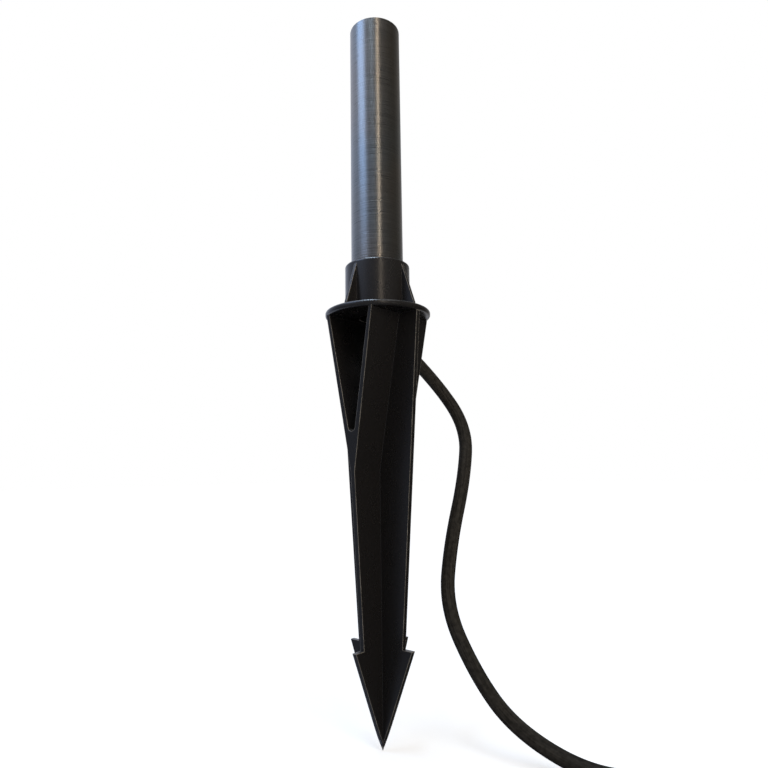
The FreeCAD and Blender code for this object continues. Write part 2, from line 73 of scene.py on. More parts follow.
camera_data = bpy.data.cameras.new("camera")
camera_data.lens = LENS
camera_data.clip_start = NEAREST_SEEN
camera = bpy.data.objects.new("camera", camera_data)
bpy.context.scene.collection.objects.link(camera)
camera.matrix_world = (
    Matrix.Translation(CAMERA_PLACE)
    @ Matrix.Rotation(CAMERA_TURN, 4, "Z")
    @ Matrix.Rotation(CAMERA_TILT, 4, "X")
    @ Matrix.Rotation(CAMERA_ROLL, 4, "Z")
)
bpy.context.scene.camera = camera
print("camera distance from the stem's axis", round(math.hypot(*CAMERA_PLACE[:2]), 3))

# %% [markdown]
# ## The supply cable
#
# A rubber flex takes bends of several diameters and lies where its weight puts it. Straight runs and
# arcs, as the solids have, would start and stop each bend abruptly. A smooth NURBS spline led by a few
# given points eases in and out of it and never kinks. The length that the picture doesn't show is
# wound into a coil, whose points come from a spiral that runs inward on the floor and outward on top of
# itself. A spline of order 3 cuts inside its points, since each piece weighs three neighbours by one,
# six and one eighths at its middle. The spiral's points therefore stand out by just that much.

# %% Route of the cable
CABLE_DIAMETER = 6.3 * MM
STRAP_THICKNESS = 0.9 * MM
STRAP_SLACK = 0.5 * MM
PLUG_RADIUS = 18.5 * MM
resting = floor_level + CABLE_DIAMETER / 2
raised = resting + STRAP_THICKNESS + STRAP_SLACK
plug_axis = floor_level + PLUG_RADIUS

LEAD = [
    (0.000, 0.000, 0.030),
    (0.000, 0.000, -0.002),
    (0.005, 0.038, -0.026),
    (0.020, 0.044, -0.051),
    (0.024, 0.034, -0.076),
    (0.022, 0.024, -0.105),
    (0.023, 0.017, -0.132),
    (0.037, 0.018, -0.158),
    (0.051, 0.023, -0.177),
    (0.077, 0.029, resting),
    (0.100, 0.036, resting),
    (0.122, 0.040, raised),
    (0.1395, 0.040, raised),
]
print("lead points", len(LEAD), "resting at", round(resting, 4))

# %% Coil
COIL_INNER_RADIUS = 25.6 * MM
COIL_PITCH = 6.9 * MM
COIL_TURNS = 5
COIL_START = math.radians(90)
POINTS_A_TURN = 16
coil_growth = COIL_PITCH / (2 * math.pi)
outer_radius = COIL_INNER_RADIUS + coil_growth * COIL_TURNS * math.pi


def unit(vector):
    """A vector, or each row of an array of them, brought to length 1."""
    return vector / np.linalg.norm(vector, axis=-1, keepdims=True)


def eased(value, low, high):
    """A smooth step from 0 at low to 1 at high."""
    share = np.clip((value - low) / (high - low), 0, 1)
    return share ** 2 * (3 - 2 * share)


coil_entry = np.array(LEAD[-1]) + unit(np.subtract(LEAD[-1], LEAD[-2])) * CABLE_DIAMETER
coil_centre = coil_entry[:2] - outer_radius * np.array((math.cos(COIL_START), math.sin(COIL_START)))


def coil_points():
    """Spiral points: the radius is the inner one plus the pitch times the turns from the middle.

    The height rises by one pitch on a smooth step in the half turn round the middle.
    """
    step = 2 * math.pi / POINTS_A_TURN
    wound = np.arange(1, COIL_TURNS * POINTS_A_TURN) * step
    from_middle = wound - COIL_TURNS * math.pi
    inside_cut = (6 + 2 * math.cos(step)) / 8
    radius = (COIL_INNER_RADIUS + coil_growth * np.abs(from_middle)) / inside_cut
    bearing = COIL_START - wound
    return np.stack((
        coil_centre[0] + radius * np.cos(bearing),
        coil_centre[1] + radius * np.sin(bearing),
        raised + COIL_PITCH * eased(from_middle, -math.pi / 2, math.pi / 2),
    ), axis=1)


print("coil centre", coil_centre.round(4), "outer radius", round(outer_radius, 4))

# %% Tail
TAIL = [
    (0.0000, 0.0000, 0.00),
    (0.0105, 0.0000, 0.00),
    (0.0207, 0.0024, 0.28),
    (0.0299, 0.0075, 0.72),
    (0.0372, 0.0151, 1.00),
    (0.0424, 0.0242, 1.00),
]


def tail_points():
    """The tail's points, each given ahead of the coil's end, to its side and by its share of the climb."""
    bearing = COIL_START - COIL_TURNS * 2 * math.pi
    outward = np.array((math.cos(bearing), math.sin(bearing), 0))
    way = unit(np.array((outward[1], -outward[0], 0)) * outer_radius + outward * coil_growth)
    aside = np.array((way[1], -way[0], 0))
    start = np.r_[coil_centre, raised + COIL_PITCH] + outward * outer_radius + way * CABLE_DIAMETER
    climb = np.array((0, 0, plug_axis - start[2]))
    return start + np.array(TAIL) @ np.stack((way, aside, climb))


route = np.concatenate((LEAD, coil_points(), tail_points()))
print("route points", len(route))

# %% [markdown]
# ### Surfaces as grids of points
#
# The cable and every other new piece is a grid: rows of points along a line or an axis, and columns
# round it. Quads join neighbours, and a face closes each end unless the last row joins the first.
# Sculpting or a stack of modifiers could make such shapes too. A grid worked out as whole arrays keeps
# each size a named value and the faces even.

# %% Helpers for meshes


def ring_angles(count, shift=0):
    """Angles spread evenly round a ring, all shifted by a share of one step."""
    return (np.arange(count) + shift) * 2 * math.pi / count


def run_along(line):
    """The distance from a line's start to each of its points."""
    return np.r_[0, np.cumsum(np.linalg.norm(np.diff(line, axis=0), axis=1))]


def new_piece(name, points, faces, uv=None):
    """A mesh object at the origin from points, faces and, if given, one (u, v) for each point."""
    mesh = bpy.data.meshes.new(name)
    mesh.from_pydata(points.tolist(), [], faces)
    if uv is not None:
        corners = np.empty(len(mesh.loops), np.int32)
        mesh.loops.foreach_get("vertex_index", corners)
        mesh.uv_layers.new(name="UVMap").data.foreach_set("uv", uv[corners].astype(np.float32).ravel())
    mesh.shade_smooth()
    piece = bpy.data.objects.new(name, mesh)
    bpy.context.scene.collection.objects.link(piece)
    return piece


def grid_faces(rows, columns, round_columns=True, round_rows=False):
    """Quads between neighbours of a grid; the last column or row may close onto the first."""
    row = np.arange(rows if round_rows else rows - 1)[:, None]
    column = np.arange(columns if round_columns else columns - 1)[None, :]
    next_row = (row + 1) % rows
    next_column = (column + 1) % columns
    quads = np.stack((
        row * columns + column, row * columns + next_column,
        next_row * columns + next_column, next_row * columns + column,
    ), axis=-1)
    return quads.reshape(-1, 4).tolist()


def capped_faces(rows, columns, first=0):
    """Quads of a round grid with a face on each end, for points that start at a given number."""
    faces = np.array(grid_faces(rows, columns)) + first
    last = first + (rows - 1) * columns
    return faces.tolist() + [list(range(first, first + columns))[::-1], list(range(last, last + columns))]


# %% Cable from its spline
SPLINE_ORDER = 3
SPLINE_STEPS = 12
CABLE_SIDES = 28
NEVER_ALONG = np.array((1.0, 0.0, 1.0)) / math.sqrt(2)


def spline_line(points):
    """The smooth line of one NURBS spline that has the route's points as its control points."""
    data = bpy.data.curves.new("route", "CURVE")
    data.dimensions = "3D"
    spline = data.splines.new("NURBS")
    spline.points.add(len(points) - 1)
    spline.points.foreach_set("co", np.c_[points, np.ones(len(points))].ravel())
    spline.order_u = SPLINE_ORDER
    spline.use_endpoint_u = True
    spline.resolution_u = SPLINE_STEPS
    holder = bpy.data.objects.new("route", data)
    mesh = bpy.data.meshes.new_from_object(holder)
    line = np.empty(len(mesh.vertices) * 3)
    mesh.vertices.foreach_get("co", line)
    bpy.data.objects.remove(holder)
    bpy.data.curves.remove(data)
    bpy.data.meshes.remove(mesh)
    return line.reshape(-1, 3)


def cable_tube(line, diameter):
    """A circle of the cable's radius carried along the line, square to it, with closed ends.

    Its map runs half round the cable and back, so that no seam shows, and along its length in metres.
    """
    way = unit(np.gradient(line, axis=0))
    side = unit(np.cross(NEVER_ALONG, way))
    up = np.cross(way, side)
    angle = ring_angles(CABLE_SIDES)
    ring = side[:, None] * np.cos(angle)[:, None] + up[:, None] * np.sin(angle)[:, None]
    points = (line[:, None] + ring * diameter / 2).reshape(-1, 3)
    run = run_along(line)
    uv = np.stack(np.broadcast_arrays(np.abs(angle / math.pi - 1), run[:, None]), axis=-1)
    faces = capped_faces(len(line), CABLE_SIDES)
    return new_piece("supply_cable", points, faces, uv.reshape(-1, 2)), run[-1]


cable_line = spline_line(route)
supply_cable, cable_length = cable_tube(cable_line, CABLE_DIAMETER)
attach(supply_cable, "spike")
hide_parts("lead_cable", "cable_coil", "tail_cable")
print("cable length", round(cable_length, 3), "faces", len(supply_cable.data.polygons))

# %% [markdown]
# ## The strap round the coil
#
# The coil is held by a strap of woven tape that closes on itself. Seen along the cable it is a loop
# with rounded corners whose end lies on top of its start. A strip given its wall by a Solidify modifier
# would have sharp edges, which tape doesn't have. So a flat section with soft edges is carried along
# that loop, and the path simply goes on past its start, one thickness further out.

# %% Loop of the strap


def rounded_loop(low, high, corner, share):
    """A point and outward direction on a rounded rectangle at shares of the way round it.

    The rectangle's straight sides and quarter circles are walked by arc length from the middle of
    its underside.
    """
    centre = (low + high) / 2
    half = (high - low) / 2 - corner
    sides = np.array((half[0], 2 * half[1], 2 * half[0], 2 * half[1], half[0]))
    arc = corner * math.pi / 2
    starts = np.r_[0, np.cumsum(sides + arc)][:-1]
    way = (share % 1.0) * (sides.sum() + 4 * arc)
    leg = np.searchsorted(starts, way, side="right") - 1
    along = way - starts[leg]
    bend = np.clip((along - sides[leg]) / arc, 0, 1)
    angle = (leg - 1 + bend) * math.pi / 2
    outward = np.stack((np.cos(angle), np.sin(angle)), axis=1)
    forward = np.stack((-np.sin((leg - 1) * math.pi / 2), np.cos((leg - 1) * math.pi / 2)), axis=1)
    corners = np.array(((half[0], -half[1]), (half[0], half[1]), (-half[0], half[1]),
                        (-half[0], -half[1]), (0.0, -half[1])))
    knee = centre + corners[leg]
    straight = np.minimum(along, sides[leg]) - sides[leg]
    return knee + outward * corner + forward * straight[:, None], outward


# %% Strap
# Start, overlap and rise are shares of the loop, the lift is in thicknesses, and flatness and softness
# are powers for the ring of the section.
STRAP_CORNER = 3.2 * MM
STRAP_START = 0.30
STRAP_OVERLAP = 0.36
STRAP_STEPS = 240
STRAP_EDGE_POINTS = 16
STRAP_FLATNESS = 0.3
STRAP_EDGE_SOFTNESS = 0.5
LAP_RISE = (0.94, 0.99)
LAP_LIFT = 1.02


def squarish(value, power):
    """A sine or cosine bent by a power below 1, so that a ring drawn with it nears a rectangle."""
    return np.sign(value) * np.abs(value) ** power


def strap(node_name):
    """The flat tape: a soft-edged section carried round the loop and on over its own start."""
    low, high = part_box(node_name)
    flat_low, flat_high = np.array((low.y, low.z)), np.array((high.y, high.z))
    gone = np.linspace(0, 1 + STRAP_OVERLAP, STRAP_STEPS)
    spot, outward = rounded_loop(flat_low, flat_high, STRAP_CORNER, STRAP_START + gone)
    lift = STRAP_THICKNESS * (LAP_LIFT * eased(gone, *LAP_RISE) - 0.5)
    line = spot + outward * lift[:, None]
    angle = ring_angles(STRAP_EDGE_POINTS, shift=0.5)
    across = squarish(np.cos(angle), STRAP_FLATNESS) * (high.x - low.x) / 2
    thick = squarish(np.sin(angle), STRAP_EDGE_SOFTNESS) * STRAP_THICKNESS / 2
    middle = (low.x + high.x) / 2
    points = np.stack(np.broadcast_arrays(
        middle + across[None, :], line[:, :1] + outward[:, :1] * thick,
        line[:, 1:] + outward[:, 1:] * thick), axis=-1).reshape(-1, 3)
    uv = np.stack(np.broadcast_arrays(across[None, :], run_along(line)[:, None]), axis=-1)
    faces = capped_faces(STRAP_STEPS, STRAP_EDGE_POINTS)
    return new_piece("coil_strap", points, faces, uv.reshape(-1, 2))


coil_strap = strap("coil_tie")
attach(coil_strap, "spike")
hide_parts("coil_tie")
print("strap faces", len(coil_strap.data.polygons))

# %% [markdown]
# ## The plug, its bend relief and the thread
#
# These are turned shapes with something more. The bend relief has grooves that let it flex. The plug
# has a ribbed hollow above and below for finger and thumb, a groove on each side for a sprung earth
# contact, and a socket for an earth pin in its face. The bush in the stem's top has a screw thread.
# Each is a profile turned about an axis whose radius, or whose place along the axis, also depends on
# the angle, so one grid of rows along the profile and columns round the axis holds the whole shape.
# Cutting the hollows out with booleans is another way, but often leaves thin faces that shade badly.
# The sprung contacts are flat strips carried along a bow, as the strap is along its loop.

# %% Turned shapes
CREASE = math.radians(40)


def turned_points(along, radius, foot, axis, side):
    """Points of rows along an axis and columns round it, from each one's distance along and out."""
    angle = ring_angles(radius.shape[1])
    ring = np.cos(angle)[:, None] * side + np.sin(angle)[:, None] * np.cross(axis, side)
    return (foot + along[..., None] * axis + radius[..., None] * ring).reshape(-1, 3)


def round_profile(along, radius, sides):
    """A profile that is the same all round, as the two grids that turned_points takes."""
    grid = np.repeat(radius[:, None], sides, axis=1)
    return np.broadcast_to(along[:, None], grid.shape), grid


def settle(piece, body, node_name):
    """Let a new piece ride on a body in a node's place, with creases where its faces meet sharply."""
    piece.data.set_sharp_from_angle(angle=CREASE)
    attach(piece, body)
    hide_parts(node_name)
    print(piece.name, "faces", len(piece.data.polygons))
    return piece


# %% Bend relief
# A groove's wall is given in shares of a pitch from the groove's middle.
SLEEVE_LENGTH = 24 * MM
SLEEVE_TIP = 4.5 * MM
SLEEVE_ROOT = 6.5 * MM
SLEEVE_ROWS = 180
SLEEVE_SIDES = 64
GROOVE_PITCH = 3.4 * MM
GROOVE_DEPTH = 0.9 * MM
GROOVE_WALL = (0.08, 0.22)
PLAIN_END = (2.0 * MM, 2.6 * MM)
LIP_DEPTH = 0.5 * MM
LIP_ROUND = (-0.3 * MM, 0.6 * MM)
IN_THE_CABLE = 0.45 * CABLE_DIAMETER
UP = np.array((0.0, 0.0, 1.0))

plug_way = unit(route[-1] - route[-2])
plug_side = np.cross(UP, plug_way)
plug_foot = route[-1] + plug_way * SLEEVE_LENGTH


def bend_relief():
    """A cone whose radius drops into a rounded groove once every pitch, but for its two ends.

    The rear rim is rounded off, and the rear face goes in until it is inside the cable.
    """
    along = np.linspace(0, SLEEVE_LENGTH, SLEEVE_ROWS)
    cone = SLEEVE_TIP + (SLEEVE_ROOT - SLEEVE_TIP) * along / SLEEVE_LENGTH
    from_groove = np.abs((along / GROOVE_PITCH) % 1.0 - 0.5)
    ends = eased(along, *PLAIN_END) * eased(SLEEVE_LENGTH - along, *PLAIN_END)
    radius = cone - GROOVE_DEPTH * ends * (1 - eased(from_groove, *GROOVE_WALL))
    radius -= LIP_DEPTH * (1 - eased(along, *LIP_ROUND))
    rows, grid = round_profile(np.r_[0, along], np.r_[IN_THE_CABLE, radius], SLEEVE_SIDES)
    points = turned_points(rows, grid, route[-1], plug_way, plug_side)
    return new_piece("bend_relief", points, capped_faces(*grid.shape))


ribbed_relief = settle(bend_relief(), "spike", "plug_sleeve")

# %% Shell of the plug
# The grip's flank is given in sines of the angle from the plug's sides, and the ribs' flank in cosines
# of their wave.
PLUG_LENGTH = 35 * MM
PLUG_NECK = 10 * MM
PLUG_SHOULDER = PLUG_LENGTH / 3
PLUG_ROUND = 3 * MM
PLUG_REAR_ROUND = 1.5 * MM
PLUG_ROWS = 120
PLUG_SIDES = 256
SHOULDER_REACH = 5 * MM
SHOULDER_DEPTH = 0.9 * MM
CLIP_WIDTH = 4.6 * MM
CLIP_LENGTH = 14 * MM
CLIP_DEPTH = 1.2 * MM
GRIP_DEPTH = 1.3 * MM
GRIP_PITCH = 3.0 * MM
GRIP_REAR = (6 * MM, 10 * MM)
GRIP_END = 26 * MM
GRIP_FADE = 4 * MM
GRIP_FLANK = (0.72, 0.90)
RIB_FLANK = (-0.4, 0.6)
RIB_HEIGHT = 0.75
SAFE_COSINE = 0.5


def plug_shell():
    """Distances out from the axis at each place along the plug and each angle round it.

    A cone and a cylinder with a softened shoulder and rounded ends, less two hollows with cross ribs
    above and below and two flat-bottomed grooves at the sides for the earth clips. The least cosine
    only keeps the grooves' flat floor finite far from the grooves, where it isn't used.
    """
    along = np.linspace(0, PLUG_LENGTH, PLUG_ROWS)[:, None]
    angle = ring_angles(PLUG_SIDES)
    radius = np.interp(along, (0, PLUG_SHOULDER, PLUG_LENGTH), (PLUG_NECK, PLUG_RADIUS, PLUG_RADIUS))
    shoulder = np.clip(1 - np.abs(along - PLUG_SHOULDER) / SHOULDER_REACH, 0, 1)
    radius -= SHOULDER_DEPTH * shoulder ** 2
    from_front = np.clip(along - (PLUG_LENGTH - PLUG_ROUND), 0, PLUG_ROUND)
    radius -= PLUG_ROUND - np.sqrt(PLUG_ROUND ** 2 - from_front ** 2)
    from_rear = np.clip(PLUG_REAR_ROUND - along, 0, PLUG_REAR_ROUND)
    radius -= PLUG_REAR_ROUND - np.sqrt(PLUG_REAR_ROUND ** 2 - from_rear ** 2)
    hollow = eased(along, *GRIP_REAR) * eased(GRIP_END - along, 0, GRIP_FADE)
    hollow = hollow * eased(np.abs(np.sin(angle)), *GRIP_FLANK)
    ribs = eased(np.cos(2 * math.pi * along / GRIP_PITCH), *RIB_FLANK)
    radius = radius - GRIP_DEPTH * hollow * (1 - RIB_HEIGHT * ribs)
    in_groove = (np.abs(radius * np.sin(angle)) < CLIP_WIDTH / 2) & (along > PLUG_LENGTH - CLIP_LENGTH)
    flat = (PLUG_RADIUS - CLIP_DEPTH) / np.maximum(np.abs(np.cos(angle)), SAFE_COSINE)
    return np.broadcast_to(along, radius.shape), np.where(in_groove, np.minimum(radius, flat), radius)


# %% Face of the plug, and the whole plug
# The face's middle is a share of the rim's radius.
SOCKET_OFFSET = 10 * MM
SOCKET_RADIUS = 2.4 * MM
SOCKET_DEPTH = 7 * MM
SOCKET_WALL = 0.25 * MM
FACE_ROWS = 48
FACE_MIDDLE = 0.03


def plug_face(rim):
    """The front face from its rim inward: level, but for one round socket beside the pins."""
    share = np.linspace(1, FACE_MIDDLE, FACE_ROWS)[1:, None]
    radius = share * rim
    angle = ring_angles(PLUG_SIDES)
    from_socket = np.hypot(radius * np.cos(angle) - SOCKET_OFFSET, radius * np.sin(angle))
    sunk = 1 - eased(from_socket, SOCKET_RADIUS - SOCKET_WALL, SOCKET_RADIUS + SOCKET_WALL)
    return PLUG_LENGTH - SOCKET_DEPTH * sunk, radius


def plug_grip():
    """The rear face, the shell and the front face as one closed grid."""
    shell_along, shell_radius = plug_shell()
    face_along, face_radius = plug_face(shell_radius[-1])
    rear = np.full((1, PLUG_SIDES), SLEEVE_ROOT / 2)
    along = np.concatenate((np.zeros_like(rear), shell_along, face_along))
    radius = np.concatenate((rear, shell_radius, face_radius))
    points = turned_points(along, radius, plug_foot, plug_way, plug_side)
    return new_piece("plug_grip", points, capped_faces(*radius.shape))


gripped_plug = settle(plug_grip(), "spike", "plug_body")

# %% Plug pins
PIN_RADIUS = 2.4 * MM
PIN_LENGTH = 19 * MM
PIN_SPACING = 19 * MM
PIN_TIP = 1.8 * MM
PIN_TIP_ROWS = 12
PIN_SIDES = 48


def twin_faces(rows, columns):
    """The faces of two capped grids of one size, whose points follow each other."""
    return capped_faces(rows, columns) + capped_faces(rows, columns, rows * columns)


def rounded_pins():
    """Two straight pins whose tips end in a quarter circle about a small flat."""
    bend = np.linspace(0, math.pi / 2, PIN_TIP_ROWS)
    along = np.r_[0, PIN_LENGTH - PIN_TIP + PIN_TIP * np.sin(bend)]
    radius = np.r_[PIN_RADIUS, PIN_RADIUS - PIN_TIP + PIN_TIP * np.cos(bend)]
    rows, grid = round_profile(along, radius, PIN_SIDES)
    face = route[-1] + plug_way * (SLEEVE_LENGTH + PLUG_LENGTH)
    pins = [turned_points(rows, grid, face + side * UP * PIN_SPACING / 2, plug_way, plug_side)
            for side in (-1, 1)]
    return new_piece("rounded_pins", np.concatenate(pins), twin_faces(*grid.shape))


plug_prongs = settle(rounded_pins(), "spike", "plug_pins")

# %% Earth contacts
# The ends are shares of the strip's length, just short of its tips, so that no ring shrinks to a point.
CONTACT_THICKNESS = 0.5 * MM
CONTACT_BOW = 0.55 * MM
CONTACT_WIDTH = 4.2 * MM
CONTACT_REAR = 0.6 * MM
CONTACT_FRONT = 2.2 * MM
CONTACT_ROWS = 60
CONTACT_EDGE_POINTS = 16
CONTACT_ENDS = (0.003, 0.997)
CONTACT_END_POWER = 6
CONTACT_EDGE_SOFTNESS = 0.6
CONTACT_FLATNESS = 0.4


def bowed_contacts():
    """Two spring strips in the plug's side grooves, each a soft-edged flat section carried along a bow.

    The bow is a squared sine over the strip's length, and the width is drawn in at both ends by a
    high power of the distance from the middle, which rounds them.
    """
    share = np.linspace(*CONTACT_ENDS, CONTACT_ROWS)[:, None]
    angle = ring_angles(CONTACT_EDGE_POINTS, shift=0.5)
    along = PLUG_LENGTH - CLIP_LENGTH + CONTACT_REAR
    along = along + share * (CLIP_LENGTH - CONTACT_REAR - CONTACT_FRONT)
    width = CONTACT_WIDTH / 2 * np.sqrt(1 - np.abs(2 * share - 1) ** CONTACT_END_POWER)
    lift = PLUG_RADIUS - CLIP_DEPTH + CONTACT_THICKNESS / 2 + CONTACT_BOW * np.sin(math.pi * share) ** 2
    out = lift + squarish(np.cos(angle), CONTACT_EDGE_SOFTNESS) * CONTACT_THICKNESS / 2
    across = squarish(np.sin(angle), CONTACT_FLATNESS) * width
    strips = [plug_foot + along[..., None] * plug_way + out[..., None] * outward
              + across[..., None] * np.cross(plug_way, outward) for outward in (plug_side, -plug_side)]
    return new_piece("earth_contacts", np.concatenate(strips).reshape(-1, 3), twin_faces(*out.shape))


spring_contacts = settle(bowed_contacts(), "spike", "plug_earth_clips")

# %% Threaded bush
# The thread's crest and its root are each flat for the same share of a pitch.
THREAD_CORE = 4.5 * MM
THREAD_DEPTH = 0.5 * MM
THREAD_PITCH = 1.0 * MM
THREAD_FLAT = 0.12
BUSH_CHAMFER = 0.8 * MM
BUSH_RIM = 0.3 * MM
BUSH_ROWS = 161
BUSH_SIDES = 72


def threaded_bush(node_name):
    """A ring whose bore follows a trapezoid wave that climbs one pitch a turn, with lead-in cones."""
    low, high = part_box(node_name)
    outside = (high.x - low.x) / 2
    height = np.linspace(low.z, high.z, BUSH_ROWS)[:, None]
    angle = ring_angles(BUSH_SIDES)
    turned = (height / THREAD_PITCH - angle / (2 * math.pi)) % 1.0
    wave = np.clip((1 - np.abs(2 * turned - 1) - THREAD_FLAT) / (1 - 2 * THREAD_FLAT), 0, 1)
    lead_in = THREAD_CORE + BUSH_CHAMFER - np.minimum(high.z - height, height - low.z)
    bore = np.maximum(THREAD_CORE + THREAD_DEPTH * wave, lead_in)
    profile = np.array((
        (outside - BUSH_RIM, high.z), (outside, high.z - BUSH_RIM),
        (outside, low.z + BUSH_CHAMFER), (outside - BUSH_CHAMFER, low.z),
    ))
    radius = np.concatenate((bore, np.repeat(profile[:, :1], BUSH_SIDES, axis=1)))
    along = np.broadcast_to(np.concatenate((height, profile[:, 1:])), radius.shape)
    points = turned_points(along, radius, np.zeros(3), UP, np.array((1.0, 0.0, 0.0)))
    faces = grid_faces(len(radius), BUSH_SIDES, round_rows=True)
    return new_piece("threaded_bush", points, [quad[::-1] for quad in faces])


screw_bush = settle(threaded_bush("head_bush"), "stem", "head_bush")

# %% Points of the cable's line
print("cable facts given with", len(cable_line), "points of its line")

# %% [markdown]
# ## How the finishes are made
#
# Every finish is one Principled shader fed by patterns that read the object's own coordinates in
# metres, or the piece's own map where a pattern follows the surface. So a grain has a real size and
# stays put when the part moves. Pictures could serve as well, but they need a map on every solid and
# blur close up. Small helpers keep the node graphs readable. One makes a node. Others give noise
# stretched along the axes, bring a value into a range, turn it into a colour or a bumped normal, and
# mix values and colours. The last three make a material, link values to its shader and put it on pieces.

# %% Helpers for patterns


def node(tree, kind, inputs=None, **settings):
    """One shader node: settings are its own properties, inputs are values or links by socket."""
    made = tree.nodes.new(kind)
    for name, value in settings.items():
        setattr(made, name, value)
    for socket, value in (inputs or {}).items():
        if isinstance(value, bpy.types.NodeSocket):
            tree.links.new(value, made.inputs[socket])
        else:
            made.inputs[socket].default_value = value
    return made


def grain(tree, cells_per_metre, detail=2.0, source="Object"):
    """Noise whose cells per metre are given for each axis of the object's or the map's coordinates."""
    place = node(tree, "ShaderNodeTexCoord").outputs[source]
    scaled = node(tree, "ShaderNodeMapping", {"Vector": place, "Scale": cells_per_metre})
    noise = node(tree, "ShaderNodeTexNoise",
                 {"Vector": scaled.outputs["Vector"], "Scale": 1.0, "Detail": detail})
    return noise.outputs["Fac"]


def ranged(tree, value, low, high, from_low=0.3, from_high=0.7):
    """A value brought from its own range into another, and held inside it."""
    return node(tree, "ShaderNodeMapRange", {
        "Value": value, "From Min": from_low, "From Max": from_high, "To Min": low, "To Max": high,
    }).outputs["Result"]


def toned(tree, value, *stops):
    """A colour ramp with stops of (place, colour)."""
    ramp = node(tree, "ShaderNodeValToRGB", {"Fac": value})
    elements = ramp.color_ramp.elements
    while len(elements) < len(stops):
        elements.new(1.0)
    for element, (place, colour) in zip(elements, stops):
        element.position = place
        element.color = (*colour, 1.0)
    return ramp.outputs["Color"]


# %% Helpers that mix and dress
MIX_SHARE, MIX_FIRST, MIX_SECOND, MIX_RESULT = 0, 6, 7, 2


def combined(tree, first, second, operation="ADD"):
    """Two values joined by one arithmetic step."""
    return node(tree, "ShaderNodeMath", {0: first, 1: second}, operation=operation).outputs["Value"]


def blended(tree, first, second, share):
    """A share of the first value plus the rest of the second."""
    return combined(tree, combined(tree, first, share, "MULTIPLY"),
                    combined(tree, second, 1 - share, "MULTIPLY"))


def mixed_colour(tree, share, first, second, kind="MIX"):
    """Two colours mixed; the Mix node's sockets for colours have numbers, as their names repeat."""
    return node(tree, "ShaderNodeMix", {MIX_SHARE: share, MIX_FIRST: first, MIX_SECOND: second},
                data_type="RGBA", blend_type=kind).outputs[MIX_RESULT]


def relief(tree, height, depth, strength=1.0, base=None):
    """A bumped normal from a height between 0 and 1 and a depth in metres, on a base normal if given."""
    bump = node(tree, "ShaderNodeBump", {"Height": height, "Distance": depth, "Strength": strength})
    if base is not None:
        tree.links.new(base, bump.inputs["Normal"])
    return bump.outputs["Normal"]


def new_finish(name, inputs):
    """A material with one Principled shader whose plain sockets are set by name."""
    material = bpy.data.materials.new(name)
    material.use_nodes = True
    shader = material.node_tree.nodes["Principled BSDF"]
    for socket, value in inputs.items():
        shader.inputs[socket].default_value = value
    return material, material.node_tree, shader.inputs


def feed(tree, sockets, **values):
    """Link worked-out values to sockets of the shader; Base_Color stands for Base Color."""
    for name, value in values.items():
        tree.links.new(value, sockets[name.replace("_", " ")])


def dress(material, *pieces):
    """Give pieces one finish in all their slots."""
    for piece in pieces:
        piece.data.materials.clear()
        piece.data.materials.append(material)
    print("finish", material.name, "on", [piece.name for piece in pieces])


# %% [markdown]
# ## Brushed bronze
#
# The tube was turned against an abrasive belt, so fine lines run round it. Across such lines light
# spreads far and along them hardly at all: that is what anisotropy does, with a tangent that runs
# round the axis. Relief alone would need lines finer than a pixel for it. Noise squeezed along the
# axis and drawn out round it gives the single scratches, and shorter cells the chatter of the belt.
# Both change the tone, the roughness and the relief a little. Large soft clouds tint the metal warmer
# here and cooler there, as a patina does.

# %% Stem finish


def brushed_bronze():
    """Dark bronze with fine lines round the tube and a patina in warmer and cooler clouds."""
    material, tree, sockets = new_finish("brushed_bronze", {
        "Metallic": 1.0, "Anisotropic": 0.8, "Anisotropic Rotation": 0.25})
    lines = grain(tree, (60, 60, 3200), detail=3.0)
    chatter = grain(tree, (350, 350, 1900))
    clouds = grain(tree, (45, 45, 18))
    brushed = blended(tree, lines, chatter, 0.8)
    metal = toned(tree, brushed, (0.3, (0.185, 0.18, 0.175)), (0.7, (0.315, 0.305, 0.295)))
    patina = toned(tree, clouds, (0.35, (0.91, 1.0, 1.05)), (0.65, (1.08, 1.0, 0.91)))
    feed(
        tree, sockets,
        Base_Color=mixed_colour(tree, 1.0, metal, patina, "MULTIPLY"),
        Roughness=ranged(tree, brushed, 0.25, 0.40),
        Normal=relief(tree, chatter, 0.03 * MM, 1.0, relief(tree, brushed, 0.08 * MM, 0.8)),
        Tangent=node(tree, "ShaderNodeTangent", direction_type="RADIAL", axis="Z").outputs["Tangent"],
    )
    return material


dress(brushed_bronze(), nodes["stem_tube"])

# %% [markdown]
# ## Glossy black plastic
#
# The spike is a smooth moulding in black plastic. Its faces are nearly black and show only what they
# reflect, so a faint waviness and a little unevenness in the gloss carry the look. No moulded edge is
# sharp: each has a small radius, and that radius catches the light as a thin bright line. To bevel the
# mesh is the direct way, but it tore where the thin fins meet. So a Bevel node rounds the normals over
# that radius and leaves the mesh alone. The outer edges also get a dull, lighter brownish grey in their
# colour: partly rubbed wear, partly a painted highlight. An occlusion node that looks into the material
# finds them, because there the next face is near, while in an inner corner it isn't.

# %% Spike finish
EDGE_RADIUS = 0.5 * MM
# How far in from an outer edge its rubbed wear and painted highlight reach.
EDGE_WEAR_AND_HIGHLIGHT = 0.36 * MM
EDGE_SAMPLES = 8
NEAR_EDGE = (0.55, 0.85)


